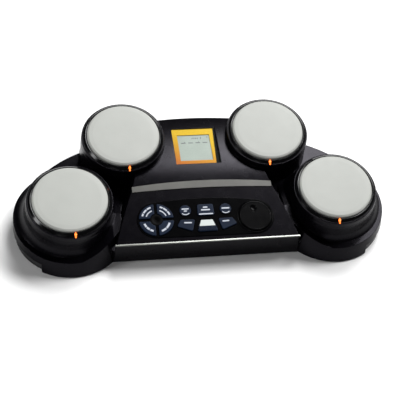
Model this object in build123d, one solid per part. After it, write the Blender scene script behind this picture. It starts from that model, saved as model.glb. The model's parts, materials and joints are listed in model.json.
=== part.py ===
from build123d import *
import math
import os

# Electronic drum pad: a table-top drum machine with four round playing pads,
# a sloped control panel, a jog dial and a small display.
# Frame: X to the player's right, Y away from the player, Z up.
# The origin is the middle of the footprint, at the bottom of the rubber feet.
# All shapes are built with Z = 0 at the lower edge of the front skirt and are
# lifted by FOOT_STAND when they are written.

os.makedirs("parts", exist_ok=True)

# ---------------------------------------------------------------- driving sizes
FOOT_STAND = 1.5
WALL = 2.5
GAP = 0.35

# playing pads: centre of the striking face, tilt towards the player, inward lean
PAD_R = 48.0
FRONT_X, FRONT_Y, FRONT_Z = 172.8, -43.0, 67.3
REAR_X, REAR_Y, REAR_Z = 97.6, 54.3, 75.3
FRONT_TILT, FRONT_LEAN = 5.6, 1.0
REAR_TILT, REAR_LEAN = 6.5, 0.5

# pad stack, depths below the striking face
RUBBER_T = 6.0
PLATE_T = 3.0
FLANGE_R = 50.6
RING_IN, RING_SKIRT_R, RING_OUT = 49.0, 51.4, 53.2
WELL_R = 53.4
WELL_DEPTH = 16.0
WIRE_HOLE_R = 28.0
LED_R = 1.6
LED_REACH = 51.1
LED_SHIFT = 4.5

# footprint
LOBE_R = 74.5
REAR_BOSS_R = 57.6
REAR_FOOT_Y = 59.9
BOSS_TOP_R = 55.9
BELL_POWER = 1.5
BELL_TOP = 15.2
BOSS_LIP = [(0, -6.2), (54.4, -6.2), (55.0, -7.2), (55.4, -9.5), (55.6, -14.2)]
FRONT_BELL_R, FRONT_BELL_DEPTH = 70.8, 47.0
REAR_BELL_DEPTH = 50.0
LOBE_TOP_R, LOBE_TOP_Z, LOBE_SHIFT_Y = 73.0, 21.0, 5.9
FLANK_DRAFT = 7.0
GUSSET_TOP = [(108, 34.0), (120, 33.5), (128, 31.0), (140, 27.0), (155, 22.5), (168, 18.5)]
FLANK_START = 25.0
FLANK_END_X, FLANK_END_Y = 150.0, 72.5
FRONT_Y0 = -97.4
FRONT_HALF = 122.1
REAR_EDGE_Y = 104.0
REAR_EDGE_SIDE_Y = 97.0
REAR_EDGE_HALF = 62.0
NOTCH_X = 212.0
SIDE_BOTTOM_Z = 11.0
SHOULDER_FRONT_Z, SHOULDER_REAR_Z = 21.0, 28.0

# control panel
PANEL_Z0 = 35.8
PANEL_SLOPE = 10.84
PANEL_REAR_Y = -16.6
CREASE_FRONT_X, CREASE_REAR_X = 119.2, 92.0
PLATE_RAISE = 0.8
PLATE_END_R = 25.0
KEY_TOP = 2.2
KEY_BOTTOM = -4.6
KEY_FLANGE = 0.8
WHEEL_X, WHEEL_V = -64.6, 32.3
WHEEL_R, WHEEL_HOLE_R, WHEEL_GAP = 22.5, 8.4, 4.0
DIAL_X, DIAL_V, DIAL_R = 64.0, 31.0, 21.3
DIMPLE_R, DIMPLE_SHIFT = 5.0, 10.9
SHAFT_R = 3.0

# display
LCD_HALF_X = 30.0
LCD_Y0, LCD_Y1 = 14.6, 79.5

# battery bay (six AA cells, two rows of three)
BAY_X, BAY_Y, BAY_H = 106.0, 50.0, 18.0
BAY_CY = -42.0
DOOR_PIN_R = 1.2
FLOOR_Z0, FLOOR_Z1 = 1.0, 3.5

# rear sockets: X of each, all at one height
JACK_Z = 27.0
JACKS = {"power_jack": -44.0, "phones_jack": -22.0, "aux_jack": 0.0, "kick_jack": 22.0, "hihat_jack": 44.0}
JACK_BARREL_R, JACK_BORE_R, DC_BORE_R = 4.0, 1.8, 2.8

# speakers, facing down under the front pads
SPEAKER_R = 38.0
SPEAKER_H = 24.0

PADS = {
    "front_left": (-FRONT_X, FRONT_Y, FRONT_Z, FRONT_TILT, FRONT_LEAN),
    "front_right": (FRONT_X, FRONT_Y, FRONT_Z, FRONT_TILT, FRONT_LEAN),
    "rear_left": (-REAR_X, REAR_Y, REAR_Z, REAR_TILT, REAR_LEAN),
    "rear_right": (REAR_X, REAR_Y, REAR_Z, REAR_TILT, REAR_LEAN),
}


# ---------------------------------------------------------------- helpers
def write(name, shape):
    """Write one node, lifted so that the rubber feet stand on Z = 0."""
    export_step(Pos(0, 0, FOOT_STAND) * shape, f"parts/{name}.step")


def pad_plane(name):
    """Plane in the striking face of a pad, its normal along the pad's axis."""
    x, y, z, tilt, lean = PADS[name]
    side = math.copysign(1.0, x)
    normal = Vector(
        -side * math.sin(math.radians(lean)),
        -math.sin(math.radians(tilt)),
        math.cos(math.radians(tilt)),
    )
    return Plane(origin=(x, y, z), x_dir=(1, 0, 0), z_dir=normal)


def panel_plane():
    """Plane in the control panel: origin at its front edge, local Y up the slope."""
    slope = math.radians(PANEL_SLOPE)
    return Plane(
        origin=(0, FRONT_Y0, PANEL_Z0),
        x_dir=(1, 0, 0),
        z_dir=(0, -math.sin(slope), math.cos(slope)),
    )


def turned(points):
    """Solid of revolution about Z from an (r, z) polygon."""
    profile = make_face(Polyline([(r, 0, z) for r, z in points], close=True))
    return revolve(profile, Axis.Z, 360)


def disc(radius, z0, z1, x=0.0, y=0.0):
    """Upright cylinder between two heights."""
    return Pos(x, y, z0) * Cylinder(
        radius, z1 - z0, align=(Align.CENTER, Align.CENTER, Align.MIN)
    )


def block(x0, x1, y0, y1, z0, z1):
    """Box between two corners."""
    return Pos(x0, y0, z0) * Box(
        x1 - x0, y1 - y0, z1 - z0, align=(Align.MIN, Align.MIN, Align.MIN)
    )


def slab(face, z0, z1):
    """A flat face extruded between two heights."""
    return Pos(0, 0, z0) * extrude(face, z1 - z0)


# ---------------------------------------------------------------- case outline
def flank_face():
    """Swept right flank between the front lobe and the rear boss."""
    lift = math.radians(FLANK_START)
    start = (FRONT_X + LOBE_R * math.cos(lift), FRONT_Y + LOBE_R * math.sin(lift))
    end = (FLANK_END_X, FLANK_END_Y)
    flank = TangentArc(start, end, tangent=(-math.sin(lift), math.cos(lift)))
    back = Polyline(end, (REAR_X, REAR_Y), (FRONT_X, FRONT_Y), start)
    return make_face([flank, back])


def middle_face():
    """Outline between the lobes and between the rear bosses."""
    rear = ThreePointArc(
        (REAR_EDGE_HALF, REAR_EDGE_SIDE_Y), (0, REAR_EDGE_Y), (-REAR_EDGE_HALF, REAR_EDGE_SIDE_Y)
    )
    rest = Polyline(
        (-REAR_EDGE_HALF, REAR_EDGE_SIDE_Y),
        (-REAR_X, REAR_Y),
        (-FRONT_X, FRONT_Y),
        (-CREASE_FRONT_X, FRONT_Y0),
        (CREASE_FRONT_X, FRONT_Y0),
        (FRONT_X, FRONT_Y),
        (REAR_X, REAR_Y),
        (REAR_EDGE_HALF, REAR_EDGE_SIDE_Y),
    )
    return make_face([rear, rest])


def footprint():
    """Outline of the whole case seen from above."""
    rounds = [Pos(side * FRONT_X, FRONT_Y) * Circle(LOBE_R) for side in (-1, 1)]
    rounds += [Pos(side * REAR_X, REAR_FOOT_Y) * Circle(REAR_BOSS_R) for side in (-1, 1)]
    flank = flank_face()
    return middle_face() + flank + mirror(flank, about=Plane.YZ) + rounds


def below_profile(curve, reach=130.0):
    """Everything below a height profile drawn in the YZ plane, front to rear."""
    first, last = curve @ 0, curve @ 1
    base = Polyline(last, (0, last.Y, -20), (0, first.Y, -20), first)
    return extrude(make_face([*curve.edges(), base]), reach, dir=(1, 0, 0), both=True)


def slope_line(points):
    """Straight height profile through (y, z) points."""
    return Polyline([(0, y, z) for y, z in points])


def deck_height(inset):
    """Height profile of the panel and the crowned deck behind it, lowered by the wall."""
    rise = math.tan(math.radians(PANEL_SLOPE))
    rear_z = PANEL_Z0 + rise * (PANEL_REAR_Y - FRONT_Y0)
    ahead = (0, -150.0, PANEL_Z0 + rise * (-150.0 - FRONT_Y0))
    panel = Line(ahead, (0, PANEL_REAR_Y, rear_z))
    crown = Spline(
        [(0, PANEL_REAR_Y, rear_z), (0, 16, 56.0), (0, 50, 56.4), (0, 82, 53.6), (0, 112, 46.0)],
        tangents=[(0, 1, 0.24), (0, 1, -0.45)],
    )
    return Pos(0, 0, -inset) * Curve([panel, crown])


def deck_outline(z, front_x, crease_x, side_x, rear_y):
    """Plan of the raised middle of the case at one height."""
    outline = make_face([
        Polyline(
            (-side_x, REAR_EDGE_SIDE_Y),
            (-crease_x, PANEL_REAR_Y - 4),
            (-front_x, FRONT_Y0 - 6),
            (front_x, FRONT_Y0 - 6),
            (crease_x, PANEL_REAR_Y - 4),
            (side_x, REAR_EDGE_SIDE_Y),
        ),
        ThreePointArc((side_x, REAR_EDGE_SIDE_Y), (0, rear_y), (-side_x, REAR_EDGE_SIDE_Y)),
    ])
    return Pos(0, 0, z) * outline


def deck(inset):
    """Raised middle of the case: front wall, control panel and display deck."""
    lean = (FRONT_HALF - CREASE_FRONT_X) / PANEL_Z0 * 60
    low = [FRONT_HALF, CREASE_REAR_X + 21, 72, REAR_EDGE_Y + 3]
    high = [FRONT_HALF - lean, CREASE_REAR_X - 4, 66, REAR_EDGE_Y - 2]
    low = deck_outline(0, *[size - inset for size in low])
    high = deck_outline(60, *[size - inset for size in high])
    body = loft([low, high], ruled=True)
    body &= below_profile(deck_height(inset))
    return body & block(-200, 200, FRONT_Y0 + inset, 200, -1, 80)


def boss(name, inset):
    """Round boss that carries one pad, flaring like a bell towards its foot."""
    front = name.startswith("front")
    foot_r = (FRONT_BELL_R if front else REAR_BOSS_R) - inset
    foot_z = -FRONT_BELL_DEPTH if front else -REAR_BELL_DEPTH
    neck_r = BOSS_TOP_R - inset
    waist_r = neck_r + (foot_r - neck_r) * 0.5**BELL_POWER
    waist_z = (foot_z - BELL_TOP) / 2 - BELL_TOP / 2
    bell = Spline(
        [(neck_r, 0, -BELL_TOP), (waist_r, 0, waist_z), (foot_r, 0, foot_z)],
        tangents=[(0.02, 0, -1), (foot_r - waist_r, 0, 0.62 * (foot_z - waist_z))],
    )
    if inset:
        lid = -WELL_DEPTH - inset
        top = Polyline((0, 0, lid), (neck_r, 0, lid), (neck_r, 0, -BELL_TOP))
    else:
        top = Polyline([(r, 0, z) for r, z in BOSS_LIP] + [(neck_r, 0, -BELL_TOP)])
    low = Polyline((foot_r, 0, foot_z), (foot_r, 0, -90), (0, 0, -90), top @ 0)
    return pad_plane(name).location * revolve(make_face([top, bell, low]), Axis.Z, 360)


def lobe(side, inset):
    """Front lobe: a cone that leans back with the pad above it."""
    top_r = LOBE_R + (LOBE_TOP_R - LOBE_R) * 2
    low = Pos(side * FRONT_X, FRONT_Y, 0) * Circle(LOBE_R - inset)
    high = Pos(side * FRONT_X, FRONT_Y + 2 * LOBE_SHIFT_Y, 2 * LOBE_TOP_Z) * Circle(top_r - inset)
    return loft([low, high])


def low_shoulder(base, inset):
    """The part of the base under the gently rising shoulder."""
    rise = (SHOULDER_REAR_Z - SHOULDER_FRONT_Z) / (REAR_EDGE_Y - FRONT_Y0)
    plain = slope_line([(y, SHOULDER_FRONT_Z + rise * (y - FRONT_Y0) - inset) for y in (-150, 150)])
    return base & below_profile(plain, reach=260)


def gusset(side, inset):
    """Raised band that carries the front wall's height round into a lobe."""
    cone = lobe(side, inset)
    points = [(side * x, 0, z - inset) for x, z in GUSSET_TOP]
    points += [(side * GUSSET_TOP[-1][0], 0, 3), (side * GUSSET_TOP[0][0], 0, 3)]
    raised = extrude(make_face(Polyline(points, close=True)), 150, dir=(0, -1, 0))
    fall = slope_line([(-150, 36 - inset), (-55, 36 - inset), (0, 24 - inset)])
    return cone & raised & below_profile(fall, reach=260)


def case_solid(inset):
    """The solid outside of the case, or its hollow when an inset is given."""
    middle, flank, whole = middle_face(), flank_face(), footprint()
    if inset:
        middle, flank, whole = [offset(face, -inset) for face in (middle, flank, whole)]
    tall = block(-260, 260, -130, REAR_FOOT_Y + REAR_BOSS_R - inset, 0, 90)
    right_flank = extrude(flank, 45, taper=FLANK_DRAFT)
    base = extrude(middle, 45) + [right_flank, mirror(right_flank, about=Plane.YZ)]
    base += [lobe(side, inset) for side in (-1, 1)]
    pieces = [gusset(side, inset) for side in (-1, 1)]
    pieces += [deck(inset) & tall]
    pieces += [boss(name, inset) & tall for name in PADS]
    if inset:
        pieces += [slab(offset(whole, -0.3), -1, 0.3)]
    return low_shoulder(base, inset) + pieces


# ---------------------------------------------------------------- panel outlines
def on_panel(shape):
    """Move a shape from panel coordinates into place."""
    return panel_plane().location * shape


def wheel_key(sx, sy):
    """One of the four arc-shaped keys around the small wheel's dark hub."""
    ring = Circle(WHEEL_R) - Circle(WHEEL_HOLE_R)
    half = WHEEL_GAP / 2
    corner = Rectangle(40, 40, align=(Align.MIN, Align.MIN))
    quadrant = Pos(half, half) * corner
    key = ring & quadrant
    key = fillet(key.vertices(), 1.2)
    turn = {(1, 1): 0, (-1, 1): 90, (-1, -1): 180, (1, -1): 270}[(sx, sy)]
    return Pos(WHEEL_X, WHEEL_V) * Rot(0, 0, turn) * key


def rounded(points, radius):
    """Closed outline through the points with rounded corners."""
    face = make_face(Polyline(points, close=True))
    return fillet(face.vertices(), radius)


def wing_key(side):
    """Slanted key beside the ribbed centre key."""
    points = [(33.6, 30.4), (15.1, 30.0), (19.5, 13.6), (39.2, 21.3)]
    return rounded([(side * x, v) for x, v in points], 2.0)


KEYS = {
    "wheel_key_ne": wheel_key(1, 1),
    "wheel_key_nw": wheel_key(-1, 1),
    "wheel_key_sw": wheel_key(-1, -1),
    "wheel_key_se": wheel_key(1, -1),
    "round_key_left": Pos(-26.3, 43.4) * Circle(7.5),
    "round_key_right": Pos(26.3, 43.4) * Circle(7.5),
    "square_key": rounded([(-11, 35.2), (11, 35.2), (10.4, 51.2), (-10.4, 51.2)], 2.2),
    "wing_key_left": wing_key(-1),
    "wing_key_right": wing_key(1),
    "centre_key": rounded([(-13.5, 12.6), (13.5, 12.6), (8, 28.9), (-8, 28.9)], 1.8),
}


def key(face):
    """Key cap with the flange that keeps it under the panel."""
    cap = slab(face, KEY_BOTTOM, KEY_TOP)
    cap = fillet(cap.edges().group_by(Axis.Z)[-1], 0.6)
    return on_panel(cap + slab(offset(face, KEY_FLANGE), KEY_BOTTOM, KEY_BOTTOM + 1.4))


def key_holes(z0, z1):
    """Clearance holes for every key, in panel coordinates."""
    return [slab(offset(face, GAP), z0, z1) for face in KEYS.values()]


def plate_outline():
    """Outline of the raised control plate: round at the wheel and at the dial."""
    arch = ThreePointArc((WHEEL_X, WHEEL_V + PLATE_END_R), (0, 61.0), (DIAL_X, DIAL_V + PLATE_END_R))
    low = Polyline(
        (DIAL_X, DIAL_V + PLATE_END_R),
        (DIAL_X, DIAL_V - PLATE_END_R),
        (WHEEL_X, WHEEL_V - PLATE_END_R),
        (WHEEL_X, WHEEL_V + PLATE_END_R),
    )
    ends = Pos(WHEEL_X, WHEEL_V) * Circle(PLATE_END_R) + Pos(DIAL_X, DIAL_V) * Circle(PLATE_END_R)
    return make_face([arch, low]) + ends


def panel_plate():
    """Thin raised plate that frames the keys and the dial."""
    plate = slab(plate_outline(), 0, PLATE_RAISE)
    plate = fillet(plate.edges().group_by(Axis.Z)[-1], 0.35)
    plate -= key_holes(-1, 2)
    plate -= disc(DIAL_R + 0.6, -1, 2, DIAL_X, DIAL_V)
    return on_panel(plate)


def jog_dial():
    """Finger-turned dial with its dimple and its shaft."""
    dial = disc(DIAL_R, -1.6, 2.6)
    dial = fillet(dial.edges().group_by(Axis.Z)[-1], 0.8)
    dial -= Pos(-1.2, DIMPLE_SHIFT, 2.6 + 4.6) * Sphere(6.6)
    dial += disc(SHAFT_R, -10.0, -1.6)
    return on_panel(Pos(DIAL_X, DIAL_V) * dial)


def encoder():
    """Rotary encoder that the dial's shaft turns in."""
    body = Pos(DIAL_X, DIAL_V, -8.6) * Box(12.5, 12.5, 7.4)
    body -= disc(SHAFT_R + 0.05, -14, 0, DIAL_X, DIAL_V)
    return on_panel(body)


def keypad_mat():
    """Silicone contact mat under the keys."""
    mat = Pos(-24, 31, -6.6) * Box(130, 54, 1.4)
    return on_panel(mat)


def button_board():
    """Circuit board behind the control panel."""
    board = Pos(0, 33, -8.1) * Box(180, 60, 1.6)
    board -= Pos(DIAL_X, DIAL_V, -8.1) * Box(13.1, 13.1, 4)
    return on_panel(board)


# ---------------------------------------------------------------- trims, display
def silver_bar():
    """Bowed satin bar between the control panel and the display deck."""
    rise = math.tan(math.radians(PANEL_SLOPE))
    front = ThreePointArc((-92, -25.2), (0, -22.2), (92, -25.2))
    rear = ThreePointArc((92, -17.4), (0, -12.0), (-92, -17.4))
    left = Line((-92, -17.4), (-92, -25.2))
    right = Line((92, -25.2), (92, -17.4))
    plan = make_face([front, right, rear, left])
    tall = slab(plan, 30, 80)
    heights = [(y, PANEL_Z0 + rise * (y - FRONT_Y0) + 0.9) for y in (-60, 0)]
    top = below_profile(slope_line(heights))
    return (tall & top) - Pos(0, 0, -2.2) * top


def front_trim():
    """Bright strip along the top of the front wall."""
    half = CREASE_FRONT_X
    return block(-half, half, FRONT_Y0 - 0.7, FRONT_Y0 + 0.9, PANEL_Z0 - 1.9, PANEL_Z0 + 0.25)


def lcd_frame():
    """Bright printed frame around the display glass."""
    corners = [(-29.6, LCD_Y0 + 0.4), (24.4, LCD_Y0 + 0.4), (27.0, 79.1), (-29.6, 79.1)]
    plan = make_face(Polyline(corners, close=True))
    frame = slab(plan, 51.6, 52.6)
    return frame - block(-22.9, 21.1, 22.9, 68.6, 50, 54)


def lcd_parts():
    """Window, frame, glass and back light, stacked in the display pocket."""
    return {
        "lcd_window": block(-29.7, 29.7, LCD_Y0 + 0.3, LCD_Y1 - 0.3, 52.6, 53.5),
        "lcd_frame": lcd_frame(),
        "lcd_glass": block(-26.5, 24.0, 18.6, 74.0, 49.4, 51.6),
        "lcd_backlight": block(-26.5, 24.0, 18.6, 74.0, 46.4, 49.4),
    }


# ---------------------------------------------------------------- pads
def at_pad(name, shape):
    """Move a shape from pad coordinates into place."""
    return pad_plane(name).location * shape


def led_spot(name):
    """Place of the indicator lens beside a pad, in pad coordinates."""
    side = math.copysign(1.0, PADS[name][0])
    return -side * LED_SHIFT, -math.sqrt(LED_REACH**2 - LED_SHIFT**2)


def pad_face(name):
    """Rubber striking disc with a bevelled edge."""
    points = [(0, 0.35), (24, 0.25), (40, 0.0), (45.4, -0.4), (47.4, -1.6), (PAD_R, -3.2)]
    points += [(PAD_R, -RUBBER_T), (0, -RUBBER_T)]
    return at_pad(name, turned(points))


def pad_plate(name):
    """Hard carrier under the rubber, with the flange that the ring holds down."""
    low = -RUBBER_T - PLATE_T
    points = [(0, -RUBBER_T), (47.5, -RUBBER_T), (47.5, -7.3)]
    points += [(FLANGE_R, -7.3), (FLANGE_R, low), (0, low)]
    x, y = led_spot(name)
    return at_pad(name, turned(points) - disc(LED_R + 1.0, low - 1, 0, x, y))


def pad_ring(name):
    """Gloss ring around a pad, standing in the well of the case."""
    points = [(RING_IN, -3.3), (49.8, -3.1), (52.6, -5.3), (RING_OUT, -6.2), (RING_OUT, -WELL_DEPTH)]
    points += [(RING_SKIRT_R, -WELL_DEPTH), (RING_SKIRT_R, -6.6), (RING_IN, -6.6)]
    x, y = led_spot(name)
    return at_pad(name, turned(points) - disc(LED_R, -12.2, 0, x, y))


def piezo(name):
    """Piezo disc glued under the carrier."""
    low = -RUBBER_T - PLATE_T
    return at_pad(name, disc(13.5, low - 0.6, low))


def damper_foam(name):
    """Foam ring on the well floor, under the carrier."""
    return at_pad(name, disc(44, -WELL_DEPTH, -10.7) - disc(31, -20, 0))


def pad_led(name):
    """Amber lens let into the ring on the player's side."""
    x, y = led_spot(name)
    lens = disc(LED_R, -12.0, -3.2, x, y)
    return at_pad(name, fillet(lens.edges().group_by(Axis.Z)[-1], 0.7))


# ---------------------------------------------------------------- case
RIM_SCREWS = [(228, -43), (172.8, -104)]
INNER_SCREWS = [(101, -86), (165, 42), (111, -6), (62, 80)]
SCREWS = [(side * x, y) for side in (-1, 1) for x, y in RIM_SCREWS + INNER_SCREWS]
BOARD_POSTS = [(-54, -4), (54, -4), (-50, 56), (50, 56)]
JACK_POSTS = [(-33, 88), (33, 88)]
FEET = [(side * x, y) for side in (-1, 1) for x, y in ((208, -78), (120, 84), (82, -72))]


def rear_wall_y(x):
    """Outer Y of the rear wall at a given X, from the arc through its three points."""
    sag = REAR_EDGE_Y - REAR_EDGE_SIDE_Y
    radius = (REAR_EDGE_HALF**2 + sag**2) / (2 * sag)
    return REAR_EDGE_Y - radius + math.sqrt(radius**2 - x**2)


def across(radius, x, z, y0, y1):
    """Cylinder along Y between two depths."""
    return Pos(x, y0, z) * Rot(-90, 0, 0) * disc(radius, 0, y1 - y0)


def top_case():
    """Upper shell: lobes, bosses, control panel and display deck in one moulding."""
    outer = case_solid(0)
    shell = outer - case_solid(WALL)
    posts = [disc(4.0, FLOOR_Z1, 60, x, y) & outer for x, y in SCREWS]
    pocket = block(-LCD_HALF_X - 2, LCD_HALF_X + 2, LCD_Y0 - 2, LCD_Y1 + 2, 46.4, 60) & outer
    cup = on_panel(disc(DIAL_R + 2.4, -4.5, -1, DIAL_X, DIAL_V))
    shell = shell + posts + pocket + cup
    for name in PADS:
        shell -= at_pad(name, disc(WELL_R, -WELL_DEPTH, 10))
        shell -= at_pad(name, disc(WIRE_HOLE_R, -30, 0))
    shell -= block(-260, 260, -90, 130, -1, SIDE_BOTTOM_Z)
    for side in (-1, 1):
        shell -= Pos(side * (NOTCH_X + 30), -100, 5) * Box(60, 60, 2 * (SIDE_BOTTOM_Z - 5))
    shell += [disc(4.0, FLOOR_Z1, 16, x, y) for x, y in SCREWS]
    shell -= [disc(1.35, 0, 15, x, y) for x, y in SCREWS]
    shell -= block(-LCD_HALF_X, LCD_HALF_X, LCD_Y0, LCD_Y1, 40, 70)
    shell -= [on_panel(hole) for hole in key_holes(-3.2, 2)]
    shell -= on_panel(disc(DIAL_R + 0.6, -2.1, 3, DIAL_X, DIAL_V))
    shell -= on_panel(disc(SHAFT_R + 0.6, -6, 3, DIAL_X, DIAL_V))
    shell -= [across(JACK_BARREL_R + 0.3, x, JACK_Z - FOOT_STAND, 90, 120) for x in JACKS.values()]
    return shell - silver_bar() - front_trim()


def bottom_case():
    """Lower tub: floor with grilles, battery bay, rim and board posts."""
    outline = offset(footprint(), -WALL - 0.5)
    tub = slab(outline, FLOOR_Z0, 15) - slab(offset(outline, -2.6), FLOOR_Z1, 16)
    tub &= case_solid(WALL + 0.4)
    half_x, half_y = BAY_X / 2, BAY_Y / 2
    top = FLOOR_Z1 + BAY_H
    tub += block(-half_x - 2, half_x + 2, BAY_CY - half_y - 2, BAY_CY + half_y + 2, FLOOR_Z0, top + 2)
    tub += [disc(3.0, FLOOR_Z0, 24.0, x, y) for x, y in BOARD_POSTS]
    tub += [disc(3.0, FLOOR_Z0, 17.0, x, y) for x, y in JACK_POSTS]
    tub -= block(-half_x, half_x, BAY_CY - half_y, BAY_CY + half_y, -1, top)
    pin_y, pin_z = door_pin()
    tub -= Pos(0, pin_y, pin_z) * Rot(0, 90, 0) * Cylinder(DOOR_PIN_R + 0.05, BAY_X + 3.2)
    for side in (-1, 1):
        grille = disc(31, -1, 5, side * FRONT_X, FRONT_Y)
        for i in range(-4, 5):
            slot = Pos(side * FRONT_X + 7 * i, FRONT_Y, 2) * Box(3, 70, 8)
            tub -= slot & grille
    tub -= [disc(1.7, 0, 5, x, y) for x, y in SCREWS]
    tub -= [disc(3.4, 0, FLOOR_Z0 + 0.8, x, y) for x, y in SCREWS]
    return tub - [disc(4.2, FLOOR_Z1, 20, x, y) for x, y in SCREWS if (abs(x), y) in RIM_SCREWS]


def door_pin():
    """Y and Z of the battery door's pivot."""
    return BAY_CY + BAY_Y / 2 - 2.4, FLOOR_Z0 + 1.4


def battery_door():
    """Door of the battery bay, turning down on two side pins."""
    pin_y, pin_z = door_pin()
    half_x = BAY_X / 2 - 0.4
    door = block(-half_x, half_x, BAY_CY - BAY_Y / 2 + 0.4, pin_y + 1.4, FLOOR_Z0, FLOOR_Z0 + 2)
    door += Pos(0, pin_y, pin_z) * Rot(0, 90, 0) * Cylinder(DOOR_PIN_R, BAY_X + 2.6)
    grip = Pos(0, BAY_CY - BAY_Y / 2 + 3.4, FLOOR_Z0) * Box(22, 2, 1.2)
    return door - grip


def battery_contacts():
    """Contact plates on the two end walls of the bay."""
    plates = []
    for side in (-1, 1):
        for row in (-1, 0, 1):
            x = side * (BAY_X / 2 - 0.25)
            plates.append(Pos(x, BAY_CY + row * 15.5, FLOOR_Z1 + 9) * Box(0.5, 10, 10))
    return Compound(plates)


def case_screws():
    """Screws that hold the two case halves together."""
    screws = []
    for x, y in SCREWS:
        head = disc(3.0, FLOOR_Z0 - 0.2, FLOOR_Z0 + 0.8, x, y)
        screws.append(head + disc(1.3, FLOOR_Z0, 13, x, y))
    return Compound(screws)


def rubber_feet():
    """Rubber feet under the floor."""
    return Compound([disc(7.0, -FOOT_STAND, FLOOR_Z0, x, y) for x, y in FEET])


# ---------------------------------------------------------------- electronics
def main_board():
    """Main circuit board on its four posts."""
    return block(-60, 60, -10, 62, 24.0, 25.6)


def jack_board():
    """Small board that carries the rear sockets."""
    return block(-52, 52, 76, 95.5, 17.0, 18.6)


def jack(x, bore_r):
    """Rear socket: square body with a round barrel and its bore."""
    z = JACK_Z - FOOT_STAND
    face_y = rear_wall_y(x) - 0.3
    body = block(x - 5, x + 5, face_y - 16, face_y - 4.5, 18.6, z + 5)
    body += across(JACK_BARREL_R, x, z, face_y - 6, face_y)
    return body - across(bore_r, x, z, face_y - 14, face_y + 1)


def speaker_frame(side):
    """Steel basket and magnet of one loudspeaker, standing on the floor."""
    points = [(33, FLOOR_Z1), (SPEAKER_R, FLOOR_Z1), (SPEAKER_R, 5.0), (34.5, 5.0), (20, 18), (18, 18)]
    points += [(18, FLOOR_Z1 + SPEAKER_H), (0, FLOOR_Z1 + SPEAKER_H), (0, 16.5), (19, 16.5), (33, 4.2)]
    return Pos(side * FRONT_X, FRONT_Y) * turned(points)


def speaker_cone(side):
    """Paper cone of one loudspeaker."""
    points = [(0, 14.6), (9, 14.6), (31, 4.6), (31, 5.4), (10, 15.6), (0, 15.6)]
    return Pos(side * FRONT_X, FRONT_Y) * turned(points)


# ---------------------------------------------------------------- write the nodes
write("top_case", top_case())
write("bottom_case", bottom_case())
write("battery_door", battery_door())
write("battery_contacts", battery_contacts())
write("case_screws", case_screws())
write("rubber_feet", rubber_feet())
write("front_trim", front_trim())
write("silver_bar", silver_bar())
write("panel_plate", panel_plate())
write("jog_dial", jog_dial())
write("dial_encoder", encoder())
write("keypad_mat", keypad_mat())
write("button_board", button_board())
write("main_board", main_board())
write("jack_board", jack_board())
for key_name, key_face in KEYS.items():
    write(key_name, key(key_face))
for lcd_name, lcd_shape in lcd_parts().items():
    write(lcd_name, lcd_shape)
for jack_name, jack_x in JACKS.items():
    write(jack_name, jack(jack_x, DC_BORE_R if jack_name == "power_jack" else JACK_BORE_R))
for pad_name in PADS:
    write(f"pad_face_{pad_name}", pad_face(pad_name))
    write(f"pad_plate_{pad_name}", pad_plate(pad_name))
    write(f"piezo_{pad_name}", piezo(pad_name))
    write(f"pad_ring_{pad_name}", pad_ring(pad_name))
    write(f"damper_foam_{pad_name}", damper_foam(pad_name))
write("pad_leds", Compound([pad_led(pad_name) for pad_name in PADS]))
for label, sign in (("left", -1), ("right", 1)):
    write(f"speaker_frame_{label}", speaker_frame(sign))
    write(f"speaker_cone_{label}", speaker_cone(sign))
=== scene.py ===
import json
import math

import bmesh
import bpy
from mathutils import Matrix, Vector


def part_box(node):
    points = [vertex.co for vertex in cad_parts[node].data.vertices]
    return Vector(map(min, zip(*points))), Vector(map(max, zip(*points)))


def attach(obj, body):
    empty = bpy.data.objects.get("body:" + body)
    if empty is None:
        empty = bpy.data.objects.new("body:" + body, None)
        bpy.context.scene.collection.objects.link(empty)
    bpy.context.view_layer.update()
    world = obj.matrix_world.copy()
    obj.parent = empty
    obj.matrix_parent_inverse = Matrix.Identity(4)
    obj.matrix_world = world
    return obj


# Electronic drum pad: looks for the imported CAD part.
# Everything is in metres, in the part's own frame: X to the player's right,
# Y away from the player, Z up, with the rubber feet on Z = 0.

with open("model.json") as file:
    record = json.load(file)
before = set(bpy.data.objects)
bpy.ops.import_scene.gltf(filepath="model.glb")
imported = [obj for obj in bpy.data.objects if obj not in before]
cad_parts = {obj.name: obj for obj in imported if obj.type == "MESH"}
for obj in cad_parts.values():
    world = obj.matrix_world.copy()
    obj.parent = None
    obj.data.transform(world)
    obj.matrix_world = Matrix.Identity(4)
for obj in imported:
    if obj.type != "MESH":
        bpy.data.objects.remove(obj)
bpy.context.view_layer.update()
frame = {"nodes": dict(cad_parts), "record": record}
nodes = frame["nodes"]

MM = 0.001
FOOT_STAND = 1.5 * MM

# ------------------------------------------------------------------ places
# Places on the panel, the pads and the display are in mm, in their own planes.
PANEL_SLOPE = math.radians(10.84)
PANEL_ORIGIN = Vector((0, -97.4 * MM, 35.8 * MM + FOOT_STAND))
KEY_TOP = 2.2
WHEEL_X, WHEEL_V = -64.6, 32.3
DIAL_X, DIAL_V = 64.0, 31.0
GLASS_Z = 51.6 * MM + FOOT_STAND
LED_SIDE, LED_REACH, LED_Z = 4.5, 51.4, -3.9
RING_BEVEL = math.radians(38)
SOCKET_HEIGHT = 28.5 * MM

PADS = {
    "front_left": (-172.8, -43.0, 67.3, 5.6, 1.0),
    "front_right": (172.8, -43.0, 67.3, 5.6, 1.0),
    "rear_left": (-97.6, 54.3, 75.3, 6.5, 0.5),
    "rear_right": (97.6, 54.3, 75.3, 6.5, 0.5),
}


def panel_matrix():
    """Panel coordinates in mm (across, up the slope, out) to the part's frame."""
    turn = Matrix.Rotation(PANEL_SLOPE, 4, "X")
    return Matrix.Translation(PANEL_ORIGIN) @ turn @ Matrix.Scale(MM, 4)


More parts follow.
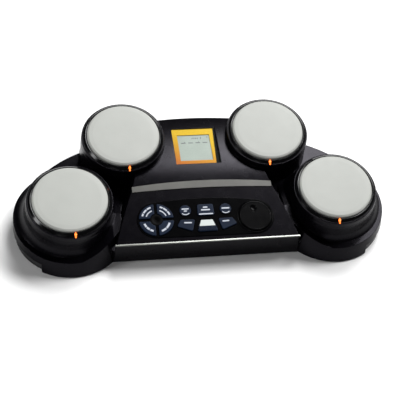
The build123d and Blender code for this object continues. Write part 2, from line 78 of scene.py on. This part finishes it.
def pad_matrix(name):
    """Pad coordinates in mm, Z along the pad's axis, to the part's frame."""
    x, y, z, tilt, lean = PADS[name]
    side = math.copysign(1, x)
    axis = Vector((
        -side * math.sin(math.radians(lean)),
        -math.sin(math.radians(tilt)),
        math.cos(math.radians(tilt)),
    )).normalized()
    across = Vector((1, 0, 0))
    across = (across - axis * across.dot(axis)).normalized()
    up = axis.cross(across)
    turn = Matrix((across, up, axis)).transposed().to_4x4()
    origin = Vector((x, y, z)) * MM + Vector((0, 0, FOOT_STAND))
    return Matrix.Translation(origin) @ turn @ Matrix.Scale(MM, 4)


# ------------------------------------------------------------------ materials
def node(tree, kind, **sockets):
    """Add a shader node and set its sockets by name."""
    made = tree.nodes.new(kind)
    for key, value in sockets.items():
        made.inputs[key.replace("_", " ")].default_value = value
    return made


def noise(tree, coords, scale, detail=3.0):
    """Fractal noise in object space."""
    made = node(tree, "ShaderNodeTexNoise", Scale=scale, Detail=detail)
    tree.links.new(coords.outputs["Object"], made.inputs["Vector"])
    return made


def ramp(tree, source, low, high, start=0.3, end=0.7):
    """Colour ramp between two colours."""
    made = tree.nodes.new("ShaderNodeValToRGB")
    made.color_ramp.elements[0].position = start
    made.color_ramp.elements[0].color = (*low, 1)
    made.color_ramp.elements[1].position = end
    made.color_ramp.elements[1].color = (*high, 1)
    tree.links.new(source, made.inputs["Fac"])
    return made


def material(name, colour, rough, mottle=0.1, spread=0.05, grain=900.0, bump=0.06,
             metal=0.0, stretch=None, round_r=0.0, **fixed):
    """Procedural surface: mottled colour, uneven gloss and a fine grain."""
    made = bpy.data.materials.new(name)
    made.use_nodes = True
    tree = made.node_tree
    shader = tree.nodes["Principled BSDF"]
    shader.inputs["Metallic"].default_value = metal
    for key, value in fixed.items():
        shader.inputs[key.replace("_", " ")].default_value = value
    coords = tree.nodes.new("ShaderNodeTexCoord")
    cloud = noise(tree, coords, 28.0)
    low = [c * (1 - mottle) for c in colour]
    high = [c * (1 + mottle) for c in colour]
    tint = ramp(tree, cloud.outputs["Fac"], low, high)
    tree.links.new(tint.outputs["Color"], shader.inputs["Base Color"])
    wear = noise(tree, coords, 90.0, 5.0)
    gloss = node(tree, "ShaderNodeMapRange", To_Min=rough - spread, To_Max=rough + spread)
    tree.links.new(wear.outputs["Fac"], gloss.inputs["Value"])
    tree.links.new(gloss.outputs["Result"], shader.inputs["Roughness"])
    fine = noise(tree, coords, grain, 4.0)
    if stretch:
        turn = node(tree, "ShaderNodeMapping", Scale=stretch)
        tree.links.new(coords.outputs["Object"], turn.inputs["Vector"])
        tree.links.new(turn.outputs["Vector"], fine.inputs["Vector"])
    relief = node(tree, "ShaderNodeBump", Strength=bump, Distance=0.0004)
    tree.links.new(fine.outputs["Fac"], relief.inputs["Height"])
    if round_r:
        edge = node(tree, "ShaderNodeBevel", Radius=round_r)
        edge.samples = 6
        tree.links.new(edge.outputs["Normal"], relief.inputs["Normal"])
    tree.links.new(relief.outputs["Normal"], shader.inputs["Normal"])
    return made


def graded(name, low, high, direction, start, end, rough):
    """Colour that runs from one tone to another across the piece."""
    made = material(name, high, rough, Specular_IOR_Level=0.12)
    tree = made.node_tree
    shader = tree.nodes["Principled BSDF"]
    coords = tree.nodes.new("ShaderNodeTexCoord")
    along = tree.nodes.new("ShaderNodeVectorMath")
    along.operation = "DOT_PRODUCT"
    along.inputs[1].default_value = direction
    tree.links.new(coords.outputs["Object"], along.inputs[0])
    span = node(tree, "ShaderNodeMapRange", From_Min=start, From_Max=end)
    tree.links.new(along.outputs["Value"], span.inputs["Value"])
    tint = ramp(tree, span.outputs["Result"], low, high, 0.0, 1.0)
    tree.links.new(tint.outputs["Color"], shader.inputs["Base Color"])
    return made


def glowing(name, colour, strength):
    """Lit amber lens; on the strips along the ring bevels it also paints the LED's glow."""
    made = material(name, colour, 0.25)
    shader = made.node_tree.nodes["Principled BSDF"]
    shader.inputs["Emission Color"].default_value = (*colour, 1)
    shader.inputs["Emission Strength"].default_value = strength
    return made


LOOKS = {
    "case_black": material("case_black", (0.0015, 0.0013, 0.0021), 0.26, grain=2200, bump=0.03,
                           round_r=0.0012, Specular_IOR_Level=0.09,
                           Specular_Tint=(0.9, 0.86, 1.0, 1)),
    "tub_black": material("tub_black", (0.012, 0.012, 0.013), 0.55, grain=1400, bump=0.35),
    "pad_rubber": material("pad_rubber", (0.365, 0.375, 0.352), 0.55, mottle=0.025, grain=1500,
                           bump=0.12, round_r=0.001, Specular_IOR_Level=0.4),
    "ring_black": material("ring_black", (0.0022, 0.0022, 0.0026), 0.15, grain=2200, bump=0.02,
                           round_r=0.0005, Specular_IOR_Level=0.22),
    "carrier_black": material("carrier_black", (0.03, 0.03, 0.03), 0.5),
    "piezo_brass": material("piezo_brass", (0.75, 0.55, 0.25), 0.3, metal=1.0),
    "foam_grey": material("foam_grey", (0.16, 0.16, 0.17), 0.9, grain=400, bump=0.8),
    "led_amber": glowing("led_amber", (1.0, 0.20, 0.03), 1.7),
    "trim_chrome": material("trim_chrome", (0.11, 0.113, 0.105), 0.3, mottle=0.03, metal=1.0,
                            bump=0.02),
    "bar_silver": material("bar_silver", (0.062, 0.061, 0.055), 0.42, metal=0.3,
                           stretch=(60.0, 2600.0, 60.0), grain=1.0, bump=0.25),
    "panel_black": material("panel_black", (0.0013, 0.0013, 0.0016), 0.22, bump=0.04,
                            round_r=0.0004, Specular_IOR_Level=0.04),
    "key_slate": material("key_slate", (0.005, 0.0105, 0.025), 0.38, mottle=0.15, bump=0.08,
                          round_r=0.0006, Specular_IOR_Level=0.09),
    "dial_black": material("dial_black", (0.0014, 0.0014, 0.0017), 0.26, bump=0.05,
                           round_r=0.0006, Specular_IOR_Level=0.06),
    "window_clear": material("window_clear", (0.15, 0.16, 0.16), 0.2, spread=0.02, bump=0.0,
                             Alpha=0.03, Specular_IOR_Level=0.1),
    # yellow frame print, darker and more orange towards the front
    "lcd_yellow": graded("lcd_yellow", (0.46, 0.125, 0.003), (0.62, 0.40, 0.004),
                         (0.45, 1.0, 0.0), 0.008, 0.062, 0.5),
    # display: faint painted glow, a weak emission that lifts its pale green tone
    "lcd_green": material("lcd_green", (0.29, 0.34, 0.30), 0.4, mottle=0.06,
                          Emission_Color=(0.56, 0.63, 0.55, 1), Emission_Strength=0.04,
                          Specular_IOR_Level=0.15),
    "light_white": material("light_white", (0.6, 0.6, 0.57), 0.5),
    "board_green": material("board_green", (0.01, 0.11, 0.035), 0.4),
    "mat_grey": material("mat_grey", (0.22, 0.23, 0.25), 0.7),
    "foot_rubber": material("foot_rubber", (0.02, 0.02, 0.02), 0.8, bump=0.3),
    "screw_steel": material("screw_steel", (0.5, 0.5, 0.52), 0.35, metal=1.0),
    "contact_nickel": material("contact_nickel", (0.7, 0.68, 0.63), 0.25, metal=1.0),
    "jack_black": material("jack_black", (0.010, 0.010, 0.010), 0.4),
    "basket_steel": material("basket_steel", (0.3, 0.3, 0.32), 0.4, metal=0.9),
    "cone_paper": material("cone_paper", (0.05, 0.046, 0.042), 0.85, grain=500, bump=0.5),
}
# pale colour of the printed marks, also used for the painted highlights on the key edges
PRINT_AND_HIGHLIGHT_WHITE = material("print_and_highlight_white", (0.44, 0.47, 0.53), 0.45, mottle=0.04)
CAP_WHITE = material("cap_white", (0.56, 0.60, 0.58), 0.35, mottle=0.04)
SEGMENT_DARK = material("segment_dark", (0.05, 0.055, 0.065), 0.5)
HUB_BLACK = material("hub_black", (0.0018, 0.0018, 0.0020), 0.5, Specular_IOR_Level=0.03)
NUT_STEEL = material("nut_steel", (0.6, 0.6, 0.62), 0.28, metal=1.0)

slots = {row["node"]: row["material_slot"] for row in frame["record"]["subparts"]}
for name, thing in nodes.items():
    for place in thing.material_slots:
        place.material = LOOKS[slots[name]]


# ------------------------------------------------------------------ mesh tools
def piece(name, mesh, look, body):
    """Add a mesh as a piece that rides on a body."""
    thing = bpy.data.objects.new(name, mesh)
    bpy.context.collection.objects.link(thing)
    mesh.materials.append(look)
    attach(thing, body)


def plates(name, outlines, z0, z1, place):
    """Thin raised plates from flat outlines."""
    bm = bmesh.new()
    for outline in outlines:
        base = [bm.verts.new((x, y, z0)) for x, y in outline]
        top = [bm.verts.new((x, y, z1)) for x, y in outline]
        count = len(outline)
        bm.faces.new(list(reversed(base)))
        bm.faces.new(top)
        for i in range(count):
            j = (i + 1) % count
            bm.faces.new((base[i], base[j], top[j], top[i]))
    bmesh.ops.transform(bm, matrix=place, verts=bm.verts)
    bmesh.ops.recalc_face_normals(bm, faces=bm.faces)
    mesh = bpy.data.meshes.new(name)
    bm.to_mesh(mesh)
    bm.free()
    return mesh


def lathe(name, profile, place, steps=64):
    """Closed ring turned from an (r, z) outline."""
    bm = bmesh.new()
    rings = []
    for k in range(steps):
        a = 2 * math.pi * k / steps
        rings.append([bm.verts.new((r * math.cos(a), r * math.sin(a), z)) for r, z in profile])
    count = len(profile)
    for k in range(steps):
        one, two = rings[k], rings[(k + 1) % steps]
        for i in range(count):
            j = (i + 1) % count
            bm.faces.new((one[i], two[i], two[j], one[j]))
    bmesh.ops.transform(bm, matrix=place, verts=bm.verts)
    bmesh.ops.recalc_face_normals(bm, faces=bm.faces)
    for face in bm.faces:
        face.smooth = True
    mesh = bpy.data.meshes.new(name)
    bm.to_mesh(mesh)
    bm.free()
    return mesh


def bar(x, y, length, width, angle=0.0):
    """Outline of a straight printed stroke with round ends."""
    half, r = (length - width) / 2, width / 2
    ends = [(half, -90), (half, -45), (half, 0), (half, 45), (half, 90)]
    ends += [(-half, 90), (-half, 135), (-half, 180), (-half, 225), (-half, 270)]
    c, s = math.cos(math.radians(angle)), math.sin(math.radians(angle))
    out = []
    for shift, turn in ends:
        px = shift + r * math.cos(math.radians(turn))
        py = r * math.sin(math.radians(turn))
        out.append((x + px * c - py * s, y + px * s + py * c))
    return out


def arc(x, y, radius, width, start, end, steps=14):
    """Outline of a curved printed stroke."""
    turns = [math.radians(start + (end - start) * k / steps) for k in range(steps + 1)]
    out = []
    for r, path in ((radius + width / 2, turns), (radius - width / 2, reversed(turns))):
        out += [(x + r * math.cos(a), y + r * math.sin(a)) for a in path]
    return out


# ------------------------------------------------------------------ panel prints
PANEL = panel_matrix()
PRINT_Z = (KEY_TOP - 0.05, KEY_TOP + 0.12)


def key_print_and_highlight(key, outlines, kind="print"):
    """Pale marks on one key: kind print gives plain printed strokes that spell nothing, kind
    edge gives a painted highlight on a front edge.
    """
    mesh = plates(f"{key}_{kind}", outlines, *PRINT_Z, PANEL)
    piece(f"{key}_{kind}", mesh, PRINT_AND_HIGHLIGHT_WHITE, f"{key}_body")


def wheel_print(key, radius, width, spans):
    """Curved strokes on a key of the wheel, each span in degrees."""
    key_print_and_highlight(key, [arc(WHEEL_X, WHEEL_V, radius, width, *span) for span in spans])


for key, middle in (("wheel_key_ne", 45), ("wheel_key_nw", 135)):
    strokes = [
        arc(WHEEL_X, WHEEL_V, 18.6, 2.2, middle - 26, middle - 9),
        arc(WHEEL_X, WHEEL_V, 18.6, 2.2, middle - 6, middle + 12),
        arc(WHEEL_X, WHEEL_V, 18.6, 2.2, middle + 15, middle + 27),
        arc(WHEEL_X, WHEEL_V, 13.6, 1.5, middle - 24, middle + 24),
    ]
    key_print_and_highlight(key, strokes)
wheel_print("wheel_key_sw", 16.6, 2.6, [(198, 215), (218, 234), (237, 252)])
wheel_print("wheel_key_se", 17.2, 2.6, [(288, 311), (314, 342)])
key_print_and_highlight("round_key_left", [bar(-26.3, 45.4, 9.6, 1.8), bar(-26.3, 42.4, 4.4, 1.8)])
key_print_and_highlight("round_key_right", [bar(26.3, 44.0, 10.6, 2.0)])
key_print_and_highlight("square_key", [bar(0, 46.6, 6.2, 1.9), bar(0, 42.9, 12.0, 1.9)])
key_print_and_highlight("wing_key_left", [bar(-24.6, 25.6, 10.4, 1.9, -3)])
key_print_and_highlight("wing_key_right", [bar(24.6, 25.6, 9.2, 1.9, 3)])

# painted highlights: pale strips on the front edges of three keys, where their chamfers catch
# the light
key_print_and_highlight("square_key", [bar(0, 36.9, 18.6, 1.7)], "edge")
key_print_and_highlight("round_key_left", [arc(-26.3, 43.4, 6.2, 1.2, 222, 318)], "edge")
key_print_and_highlight("round_key_right", [arc(26.3, 43.4, 6.2, 1.2, 222, 318)], "edge")

# centre key: pale cap behind, ribbed grip in front
cap = [(-10.3, 19.9), (10.3, 19.9), (7.4, 28.3), (-7.4, 28.3)]
mesh = plates("centre_key_cap", [cap], KEY_TOP - 0.1, KEY_TOP + 0.35, PANEL)
piece("centre_key_cap", mesh, CAP_WHITE, "centre_key_body")
ribs = [bar(-10.8 + 2.16 * k, 16.3, 5.4, 1.0, 90) for k in range(11)]
mesh = plates("centre_key_ribs", ribs, KEY_TOP - 0.1, KEY_TOP + 0.6, PANEL)
piece("centre_key_ribs", mesh, LOOKS["key_slate"], "centre_key_body")

# hub of the wheel, grip of the dial and the collar round it
hub = PANEL @ Matrix.Translation((WHEEL_X, WHEEL_V, 0))
mesh = lathe("wheel_hub", [(0.4, 0.75), (8.1, 0.75), (8.1, 0.95), (7.8, 1.05), (0.4, 1.05)], hub)
piece("wheel_hub", mesh, HUB_BLACK, "case")
dial = PANEL @ Matrix.Translation((DIAL_X, DIAL_V, 0))
grip = [(19.2, 2.5), (19.2, 2.85), (20.0, 2.95), (20.5, 2.6), (20.5, 2.5)]
piece("dial_grip", lathe("dial_grip", grip, dial), LOOKS["dial_black"], "dial")
collar = [(22.3, 0.7), (22.3, 1.25), (22.9, 1.5), (23.6, 1.25), (23.8, 0.7)]
mesh = lathe("dial_collar", collar, dial)
piece("dial_collar", mesh, LOOKS["panel_black"], "case")

# ------------------------------------------------------------------ display
glass = Matrix.Translation((0, 0, GLASS_Z)) @ Matrix.Scale(MM, 4)
marks = [bar(-15.5 + 9.8 * k, 55.0, 6.8, 1.4) for k in range(4)]
marks += [bar(-14.0, 56.6, 1.6, 0.7, 90), bar(5.4, 56.6, 1.6, 0.7, 90)]
marks += [bar(-2.6 + 2.4 * k, 63.0, 2.6, 1.1, 60) for k in range(4)]
marks += [bar(8.8, 63.4, 3.6, 1.1, 90), bar(17.6, 64.6, 2.2, 1.0)]
mesh = plates("display_segments", marks, 0.0, 0.06, glass)
piece("display_segments", mesh, SEGMENT_DARK, "case")

# ------------------------------------------------------------------ pads
# lit amber strip on each ring bevel: the LED lens, drawn long so that it also paints the LED's
# glow along the ring
for name, (x, *_) in PADS.items():
    side = math.copysign(1, x)
    middle = Matrix.Translation((-side * LED_SIDE, -LED_REACH, LED_Z))
    place = pad_matrix(name) @ middle @ Matrix.Rotation(RING_BEVEL, 4, "X")
    strip = [bar(0, -0.6, 7.2, 2.1, 90)]
    mesh = plates(f"led_lens_and_glow_{name}", strip, -0.4, 0.35, place)
    piece(f"led_lens_and_glow_{name}", mesh, LOOKS["led_amber"], "case")

# ------------------------------------------------------------------ sockets
JACKS = ("power_jack", "phones_jack", "aux_jack", "kick_jack", "hihat_jack")
NUT = [(4.2, 0.0), (6.6, 0.0), (6.6, 1.2), (6.0, 1.9), (4.2, 1.9)]
for name in JACKS:
    low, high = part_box(name)
    seat = Matrix.Translation(((low.x + high.x) / 2, high.y - 1.0 * MM, SOCKET_HEIGHT))
    place = seat @ Matrix.Rotation(-math.pi / 2, 4, "X") @ Matrix.Scale(MM, 4)
    piece(f"{name}_nut", lathe(f"{name}_nut", NUT, place), NUT_STEEL, "case")

# ------------------------------------------------------------------ stage
bpy.ops.mesh.primitive_plane_add(size=40.0, location=(0, 0, 0))
floor = bpy.context.object
floor.name = "floor"
white = material("floor_white", (0.93, 0.93, 0.93), 0.85, mottle=0.004, bump=0.0)
floor.data.materials.append(white)


def soft_light(name, place, target, size, power):
    """Square soft box aimed at a point."""
    lamp = bpy.data.lights.new(name, "AREA")
    lamp.size = size
    lamp.energy = power
    thing = bpy.data.objects.new(name, lamp)
    thing.location = place
    thing.rotation_euler = (Vector(target) - Vector(place)).to_track_quat("-Z", "Y").to_euler()
    bpy.context.collection.objects.link(thing)


def even_light(name, source, angle, strength):
    """Soft light that falls evenly on the whole floor."""
    lamp = bpy.data.lights.new(name, "SUN")
    lamp.angle = angle
    lamp.energy = strength
    thing = bpy.data.objects.new(name, lamp)
    thing.rotation_euler = (-Vector(source)).to_track_quat("-Z", "Y").to_euler()
    bpy.context.collection.objects.link(thing)


soft_light("back", (0.62, 1.28, 1.72), (0, 0, 0.04), 0.85, 50.0)
even_light("top", (1.35, 0.62, 1.5), 0.33, 2.5)
soft_light("side", (-1.6, -0.25, 0.9), (-0.05, 0, 0.04), 0.4, 7.0)
soft_light("front", (-0.7, -1.5, 0.8), (-0.05, 0, 0.04), 0.4, 3.0)

world = bpy.data.worlds.new("studio")
bpy.context.scene.world = world
world.use_nodes = True
world.node_tree.nodes["Background"].inputs["Color"].default_value = (1, 1, 1, 1)
world.node_tree.nodes["Background"].inputs["Strength"].default_value = 0.045
bpy.context.scene.view_settings.view_transform = "Standard"

# ------------------------------------------------------------------ camera
lens = bpy.data.cameras.new("view")
lens.sensor_width = 36.0
lens.lens = 90.0
camera = bpy.data.objects.new("view", lens)
right = Vector((0.98730, -0.13233, 0.08805))
up = Vector((0.04916, 0.78102, 0.62259))
back = Vector((-0.15116, -0.61034, 0.77758))
turn = Matrix((right, up, back)).transposed().to_4x4()
camera.matrix_world = Matrix.Translation((-0.2014, -0.8325, 1.0580)) @ turn
bpy.context.collection.objects.link(camera)
bpy.context.scene.camera = camera
